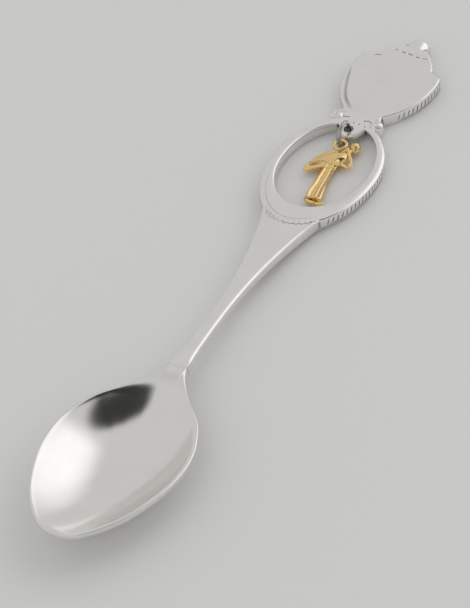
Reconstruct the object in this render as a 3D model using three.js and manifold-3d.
// A souvenir spoon with a small figure hanging in the window of its handle.
// Millimetres. +Y runs from the bowl to the crest, +X is across and +Z is up.
// The spoon lies face up on the plane z = 0, on the belly of its bowl and the
// flat back of its crest. Stations along the spoon (y) count from the bowl's tip.
import * as THREE from 'three';
import { mergeVertices } from 'three/addons/utils/BufferGeometryUtils.js';
import Module from 'manifold-3d';

const wasm = await Module();
wasm.setup();

// Whole spoon
const LENGTH = 114;
const PLATE = 2;                 // thickness of the window frame and the crest
const PLATE_BEVEL = 0.12;        // softened edges, as a share of the thickness
const FIT_GAP = 0.3;             // clearance between soldered or linked pieces

// Lie of the handle: straight from the bowl, then a long arc, then flat
const SLOPE = 0.05;
const ARC_START = 66;
const ARC_END = 92;

// Bowl
const BOWL_CENTRE = 17.5;
const BOWL_HALF_WIDTH = 10.5;
const BOWL_DEPTH = 4.05;         // leaves the belly just touching z = 0
const BOWL_SHEET = 0.9;
const RIM_WIDTH = 0.5;
const RIM_THICKNESS = 1.0;
const TONGUE_END = 34.5;
const TONGUE_THICKNESS = 1.6;
const CAVITY_TOP = 31.5;

// Stem
const STEM_START = TONGUE_END + FIT_GAP;
const STEM_WAIST = 44;
const STEM_WAIST_HALF = 1.12;
const STEM_END_FLARE = 0.3;      // extra half width at the soldered end
const STEM_THICKNESS = 1.6;

// Window frame: two half ellipses outside and two inside
const FRAME_CENTRE = 80.8;
const FRAME_HALF_WIDTH = 8.65;
const FRAME_REACH_DOWN = 13.4;
const FRAME_REACH_UP = 11.3;
const FRAME_END = 90.4;          // where the outline leaves the frame for the scrolls
const STEM_MEETS_FRAME = 69.4;
const STEM_MEETS_FRAME_HALF = 4.6;
const WINDOW_CENTRE = 81;
const WINDOW_HALF_WIDTH = 7.1;
const WINDOW_REACH_DOWN = 9.5;
const WINDOW_REACH_UP = 10.2;

// Lug at the top of the window. Its hole for the jump ring is a little off centre.
const LINK_X = -0.3;
const LUG_CENTRE = 90.35;
const LUG_RADIUS = 1.9;
const LUG_THICKNESS = 0.9;
const LUG_HOLE = 89.97;
const LUG_HOLE_RADIUS = 0.75;

// Crest
const NECK = 94.2;
const NECK_HALF = 3.3;
const KNOB_RADIUS = 1.75;
const SCROLL_TOP = 93.5;
const CREST_LEAN = THREE.MathUtils.degToRad(4);   // the casting's crest leans to the right
const LEAN_PIVOT = new THREE.Vector2(0, 92);
const BORDER_DROP = 0.25;        // the crest's left border lies this far below its shield

// Jump ring, standing upright in the lug's hole
const RING_RADIUS = 1.85;
const RING_WIRE = 0.65;
const RING_CENTRE = new THREE.Vector3(LINK_X, 88.4, 2.22);

// Charm, lying inside the window
const EYELET_CENTRE = new THREE.Vector3(LINK_X, 87.05, 1.15);
const EYELET_RADIUS = 0.975;
const EYELET_WIRE = 0.55;
const CHARM_MIDDLE = 1;          // height of the figure's middle plane

const silver = { color: 0xd8d6d2, roughness: 0.16, metalness: 1 };
const wire = { color: 0xcfcdca, roughness: 0.22, metalness: 1 };
const gold = { color: 0xe0a94a, roughness: 0.3, metalness: 1 };

// Height of the spoon's upper face above the plane it lies on
function faceHeight(y) {
  const arc = ARC_END - ARC_START;
  const drop = SLOPE * arc / 2;
  if (y < ARC_START) return PLATE + drop + SLOPE * (ARC_START - y);
  const left = Math.max(ARC_END - y, 0);
  return PLATE + SLOPE * left * left / (2 * arc);
}

function smoothstep(value, low, high) {
  const t = THREE.MathUtils.clamp((value - low) / (high - low), 0, 1);
  return t * t * (3 - 2 * t);
}

function eachVertex(geometry, change) {
  const position = geometry.attributes.position;
  const point = new THREE.Vector3();
  for (let i = 0; i < position.count; i++) {
    point.fromBufferAttribute(position, i);
    change(point, i);
    position.setXYZ(i, point.x, point.y, point.z);
  }
  return geometry;
}

function toSolid(geometry) {
  const bare = geometry.clone();
  bare.deleteAttribute('normal');
  bare.deleteAttribute('uv');
  const merged = mergeVertices(bare, 1e-4);
  const vertProperties = new Float32Array(merged.attributes.position.array);
  const triVerts = new Uint32Array(merged.index.array);
  return new wasm.Manifold(new wasm.Mesh({ numProp: 3, vertProperties, triVerts }));
}

function toGeometry(solid) {
  const mesh = solid.getMesh();
  const geometry = new THREE.BufferGeometry();
  geometry.setAttribute('position', new THREE.BufferAttribute(mesh.vertProperties, 3));
  geometry.setIndex(new THREE.BufferAttribute(mesh.triVerts, 1));
  geometry.computeVertexNormals();
  return geometry;
}

function makeMesh(name, geometry, finish) {
  const mesh = new THREE.Mesh(geometry, new THREE.MeshStandardMaterial(finish));
  mesh.name = name;
  return mesh;
}

// ---------------------------------------------------------------- bowl

// The bowl's outline is an egg that narrows into a short tongue. Seen from the
// bowl's centre each direction meets it once, so it is kept as radius by angle.
const bowlOutline = new THREE.CatmullRomCurve3([
  [0, 0], [3.2, 1], [6.85, 5], [9.25, 10], [BOWL_HALF_WIDTH, 15], [10.3, 20],
  [8.2, 25], [5.1, 28.5], [2.8, 31.5], [1.42, TONGUE_END],
].map(([x, y]) => new THREE.Vector3(x, y, 0)), false, 'centripetal').getSpacedPoints(160);

function outlineRadius(angle) {
  // angle 0 points to the tip and PI to the tongue
  const last = bowlOutline[bowlOutline.length - 1];
  const tongueAngle = Math.atan2(last.x, BOWL_CENTRE - last.y);
  if (angle >= tongueAngle) return (last.y - BOWL_CENTRE) / -Math.cos(angle);
  for (let i = 1; i < bowlOutline.length; i++) {
    const a = bowlOutline[i - 1];
    const b = bowlOutline[i];
    const angleA = Math.atan2(a.x, BOWL_CENTRE - a.y);
    const angleB = Math.atan2(b.x, BOWL_CENTRE - b.y);
    if (angle <= angleB) {
      const share = (angle - angleA) / (angleB - angleA);
      return a.clone().lerp(b, share).distanceTo(new THREE.Vector3(0, BOWL_CENTRE, 0));
    }
  }
  return last.y - BOWL_CENTRE;
}

// The hollow keeps a rim inside the outline and ends short of the tongue
function hollowRadius(angle) {
  const radius = outlineRadius(angle) - RIM_WIDTH;
  const towardsTongue = Math.max(-Math.cos(angle), 0);
  const limit = (CAVITY_TOP - BOWL_CENTRE) / Math.max(towardsTongue, 0.01);
  const soft = 8;
  return (radius ** -soft + limit ** -soft) ** (-1 / soft);
}

const BOWL_TURNS = 64;

function makeBowl() {
  const rings = 11;
  const hollow = (share) => -BOWL_DEPTH * (1 - share ** 2.4);
  const belly = (share, edge) => -edge - (BOWL_DEPTH + BOWL_SHEET - edge) * (1 - share ** 2.6);
  // A unit section from the middle of the belly, round the rim, to the middle
  // of the hollow. Each of its points is moved to its true place below.
  const section = [];
  for (let i = 0; i <= rings; i++) section.push({ part: 'belly', share: i / rings });
  section.push({ part: 'rim', share: 1 });
  for (let i = rings; i >= 0; i--) section.push({ part: 'hollow', share: i / rings });
  const profile = section.map(({ share, part }, i) => {
    const lift = part === 'belly' ? i * 1e-2 : 1 + i * 1e-2;
    return new THREE.Vector2(i === 0 || i === section.length - 1 ? 0 : share, lift);
  });
  const geometry = new THREE.LatheGeometry(profile, BOWL_TURNS);
  eachVertex(geometry, (point, index) => {
    const { part, share } = section[index % section.length];
    const turn = Math.floor(index / section.length) / BOWL_TURNS * 2 * Math.PI;
    const angle = turn <= Math.PI ? turn : 2 * Math.PI - turn;
    const side = turn <= Math.PI ? 1 : -1;
    const onTongue = smoothstep(-Math.cos(angle), 0.9, 1);
    const edge = THREE.MathUtils.lerp(RIM_THICKNESS, TONGUE_THICKNESS, onTongue);
    const outer = outlineRadius(angle);
    const inner = hollowRadius(angle);
    const radius = part === 'hollow' ? inner * share : outer * share;
    const x = side * radius * Math.sin(angle);
    const y = BOWL_CENTRE - radius * Math.cos(angle);
    let z = 0;
    if (part === 'belly') z = belly(share, edge);
    if (part === 'hollow') z = hollow(share);
    point.set(x, y, z + faceHeight(y));
  });
  return geometry;
}

// -------------------------------------------------------------- handle

function stemHalfWidth(y) {
  if (y < STEM_WAIST) {
    const share = (STEM_WAIST - y) / (STEM_WAIST - STEM_START);
    return STEM_WAIST_HALF + STEM_END_FLARE * share ** 3;
  }
  const share = (y - STEM_WAIST) / (STEM_MEETS_FRAME - STEM_WAIST);
  return STEM_WAIST_HALF + (STEM_MEETS_FRAME_HALF - STEM_WAIST_HALF) * share ** 2.2;
}

function frameEdge(angle) {
  const reach = Math.sin(angle) < 0 ? FRAME_REACH_DOWN : FRAME_REACH_UP;
  const x = FRAME_HALF_WIDTH * Math.cos(angle);
  return new THREE.Vector2(x, FRAME_CENTRE + reach * Math.sin(angle));
}

function windowEdge(angle) {
  const reach = Math.sin(angle) < 0 ? WINDOW_REACH_DOWN : WINDOW_REACH_UP;
  const x = WINDOW_HALF_WIDTH * Math.cos(angle);
  return new THREE.Vector2(x, WINDOW_CENTRE + reach * Math.sin(angle));
}

function splinePoints(points, count) {
  const curve = new THREE.SplineCurve(points.map(([x, y]) => new THREE.Vector2(x, y)));
  return curve.getSpacedPoints(count);
}

// The crest's right shoulder is lower and rounder than its left one
const RIGHT_CORNER = [[7.5, 104.6], [7.25, 106]];
const RIGHT_SHOULDER = [[5.15, 107.05], [4.95, 107.9], [3.5, 109.9], [2.3, 111.1], [1.75, 111.8]];
const LEFT_CORNER = [[7.45, 105.4], [7.1, 107.3]];
const LEFT_SHOULDER = [[5.05, 107.65], [4.3, 109.2], [3.35, 110.7], [2.2, 111.7], [1.75, 111.8]];

// One side of the crest, from the neck to the top of the knob
function crestSide(corner, shoulder) {
  const side = splinePoints([
    [NECK_HALF, NECK], [5.1, 96.2], [6.4, 98.4], [7.2, 100.8], [7.5, 103.2], ...corner,
  ], 22);
  const knob = [];
  const knobSteps = 8;
  // placed so that the knob, once it leans, ends at the spoon's full length
  const centre = LEAN_PIVOT.y + (LENGTH - KNOB_RADIUS - LEAN_PIVOT.y) / Math.cos(CREST_LEAN);
  for (let i = 1; i <= knobSteps; i++) {
    const angle = i / knobSteps * Math.PI / 2;
    const x = KNOB_RADIUS * Math.cos(angle);
    knob.push(new THREE.Vector2(x, centre + KNOB_RADIUS * Math.sin(angle)));
  }
  return [...side, ...splinePoints(shoulder, 14), ...knob];
}

// One side of the handle's outline, from the soldered end to the knob
function handleSide(corner, shoulder) {
  const points = [];
  const stemSteps = 28;
  for (let i = 0; i <= stemSteps; i++) {
    const y = THREE.MathUtils.lerp(STEM_START, STEM_MEETS_FRAME, i / stemSteps);
    points.push(new THREE.Vector2(stemHalfWidth(y), y));
  }
  const start = Math.asin((STEM_MEETS_FRAME - FRAME_CENTRE) / FRAME_REACH_DOWN);
  const end = Math.asin((FRAME_END - FRAME_CENTRE) / FRAME_REACH_UP);
  const frameSteps = 34;
  for (let i = 1; i <= frameSteps; i++) {
    points.push(frameEdge(THREE.MathUtils.lerp(start, end, i / frameSteps)));
  }
  // two small scrolls between the frame and the neck
  points.push(...splinePoints([[3.7, 91.25], [4.4, 91.8], [4.35, 92.9], [3.6, SCROLL_TOP]], 10));
  points.push(...crestSide(corner, shoulder));
  return points;
}

// Joins a right side and a mirrored left side. What lies past the frame leans.
function closedShape(right, left) {
  const mirrored = left.filter((p) => p.x > 1e-6).map((p) => new THREE.Vector2(-p.x, p.y));
  const outline = [...right, ...mirrored.reverse()];
  for (const point of outline) {
    if (point.y > FRAME_END + 1e-6) point.rotateAround(LEAN_PIVOT, -CREST_LEAN);
  }
  return new THREE.Shape(outline);
}

// Lays a flat plate, modelled with its upper face at z = 0, on the spoon's face
function lay(geometry, thickness) {
  return eachVertex(geometry, (point) => {
    const depth = point.z * thickness(point.y);
    point.z = faceHeight(point.y) + depth;
  });
}

function plateThickness(y) {
  return THREE.MathUtils.lerp(STEM_THICKNESS, PLATE, smoothstep(y, 52, 70));
}

// A bevelled plate one unit thick, from z = -1 to z = 0
function unitPlate(shape, bevel) {
  const geometry = new THREE.ExtrudeGeometry(shape, {
    depth: 1 - 2 * bevel, bevelThickness: bevel, bevelSize: bevel * PLATE,
    bevelOffset: -bevel * PLATE, bevelSegments: 2, curveSegments: 24, steps: 1,
  });
  geometry.translate(0, 0, bevel - 1);
  return geometry;
}

function makePlate() {
  const right = handleSide(RIGHT_CORNER, RIGHT_SHOULDER);
  const left = handleSide(LEFT_CORNER, LEFT_SHOULDER);
  const shape = closedShape(right, left);
  const edge = [];
  const windowSteps = 72;
  for (let i = 0; i < windowSteps; i++) edge.push(windowEdge(i / windowSteps * 2 * Math.PI));
  shape.holes.push(new THREE.Path(edge));
  return toSolid(lay(unitPlate(shape, PLATE_BEVEL), plateThickness));
}

function disc(radius, x, y, low, high) {
  const geometry = new THREE.CylinderGeometry(radius, radius, high - low, 28);
  geometry.rotateX(Math.PI / 2);
  geometry.translate(x, y, (low + high) / 2);
  return toSolid(geometry);
}

// The crest's plain shield reaches its right edge. On the left a border lies below it.
function makeBorder() {
  const shieldEdge = splinePoints([[-1.2, 94.4], [-3.7, 97.4], [-5.1, 101.1], [-6, 106.8]], 16);
  const outside = [[-9.5, 107.2], [-9.5, 98], [-4.6, 94.4]].map(([x, y]) => new THREE.Vector2(x, y));
  const shape = new THREE.Shape([...shieldEdge, ...outside]);
  const geometry = new THREE.ExtrudeGeometry(shape, { depth: PLATE, bevelEnabled: false });
  geometry.translate(0, 0, PLATE - BORDER_DROP);
  return toSolid(geometry);
}

function makeHandle() {
  const top = faceHeight(LUG_CENTRE);
  const lug = disc(LUG_RADIUS, 0, LUG_CENTRE, top - LUG_THICKNESS, top);
  const hole = disc(LUG_HOLE_RADIUS, LINK_X, LUG_HOLE, -1, PLATE + 2);
  return toGeometry(makePlate().add(lug).subtract(hole).subtract(makeBorder()));
}

// ------------------------------------------------------- ring and charm

function torus(radius, wireThickness, around, section) {
  const profile = [];
  for (let i = 0; i <= section; i++) {
    const angle = i / section * 2 * Math.PI;
    const r = wireThickness / 2;
    profile.push(new THREE.Vector2(radius + r * Math.cos(angle), r * Math.sin(angle)));
  }
  profile[section] = profile[0].clone();
  return new THREE.LatheGeometry(profile, around);
}

function makeJumpRing() {
  const geometry = torus(RING_RADIUS, RING_WIRE, 48, 12);
  geometry.rotateZ(Math.PI / 2);
  geometry.translate(RING_CENTRE.x, RING_CENTRE.y, RING_CENTRE.z);
  return geometry;
}

// A rounded limb between two points, with its own radius at each end
function limb(from, to, radiusFrom, radiusTo) {
  const length = from.distanceTo(to);
  const steps = 4;
  const profile = [];
  for (let i = 0; i <= steps; i++) {
    const angle = -Math.PI / 2 + i / steps * Math.PI / 2;
    profile.push(new THREE.Vector2(radiusFrom * Math.cos(angle), radiusFrom * Math.sin(angle)));
  }
  for (let i = 0; i <= steps; i++) {
    const angle = i / steps * Math.PI / 2;
    profile.push(new THREE.Vector2(radiusTo * Math.cos(angle), length + radiusTo * Math.sin(angle)));
  }
  profile[0].x = 0;
  profile[profile.length - 1].x = 0;
  const geometry = new THREE.LatheGeometry(profile, 12);
  const direction = to.clone().sub(from).normalize();
  const turn = new THREE.Quaternion().setFromUnitVectors(new THREE.Vector3(0, 1, 0), direction);
  geometry.applyQuaternion(turn);
  geometry.translate(from.x, from.y, from.z);
  return toSolid(geometry);
}

function ball(centre, radii) {
  const geometry = new THREE.SphereGeometry(1, 16, 10);
  geometry.scale(radii.x, radii.y, radii.z);
  geometry.translate(centre.x, centre.y, centre.z);
  return toSolid(geometry);
}

// A point of the figure, given as height above or below its middle plane
function at(x, y, lift = 0) {
  return new THREE.Vector3(x, y, CHARM_MIDDLE + lift);
}

// The short cape that swings out behind the figure
function makeCape() {
  const points = splinePoints([
    [0.6, 85.3], [-0.6, 85.3], [-1.9, 84.3], [-2.9, 82.6], [-3.5, 80.5], [-2.8, 79.8],
    [-1.6, 80.7], [-0.4, 81.4], [0.6, 82],
  ], 26);
  const geometry = new THREE.ExtrudeGeometry(new THREE.Shape(points), {
    depth: 0.5, bevelThickness: 0.2, bevelSize: 0.2, bevelOffset: -0.2, bevelSegments: 1, steps: 1,
  });
  geometry.translate(0, 0, CHARM_MIDDLE - 0.3);
  return toSolid(geometry);
}

function makeCharm() {
  const eyelet = torus(EYELET_RADIUS, EYELET_WIRE, 32, 10);
  eyelet.rotateX(Math.PI / 2);
  eyelet.translate(EYELET_CENTRE.x, EYELET_CENTRE.y, EYELET_CENTRE.z);
  const size = (x, y, z) => new THREE.Vector3(x, y, z);
  const pieces = [
    limb(at(-0.1, 85.9), at(0.5, 84.9), 0.35, 0.6),
    ball(at(2.25, 87), size(0.9, 1.1, 0.85)),
    limb(at(1.9, 86.3), at(1.2, 85), 0.4, 0.6),
    ball(at(0.55, 83.9), size(1.7, 1.75, 0.88)),
    makeCape(),
    limb(at(0.2, 82.4), at(0.1, 75.4, 0.1), 0.8, 0.75),
    limb(at(0.9, 82.4), at(1.4, 75.4, -0.05), 0.75, 0.85),
    limb(at(0.55, 74.9), at(1.35, 74.6), 0.75, 0.8),
    limb(at(1, 74.1, -0.3), at(2.6, 74.3, -0.3), 0.5, 0.42),
    limb(at(1.3, 86.3, 0.45), at(3.4, 83, 0.5), 0.34, 0.32),
    limb(at(1.2, 83, -0.2), at(2.9, 82.2, -0.3), 0.45, 0.34),
  ];
  return toGeometry(pieces.reduce((whole, piece) => whole.add(piece), toSolid(eyelet)));
}

const spoon = new THREE.Group();
spoon.add(makeMesh('bowl', makeBowl(), silver));
spoon.add(makeMesh('handle', makeHandle(), silver));
spoon.add(makeMesh('jump_ring', makeJumpRing(), wire));
spoon.add(makeMesh('charm', makeCharm(), gold));
spoon.position.y = -LENGTH / 2;

export default spoon;
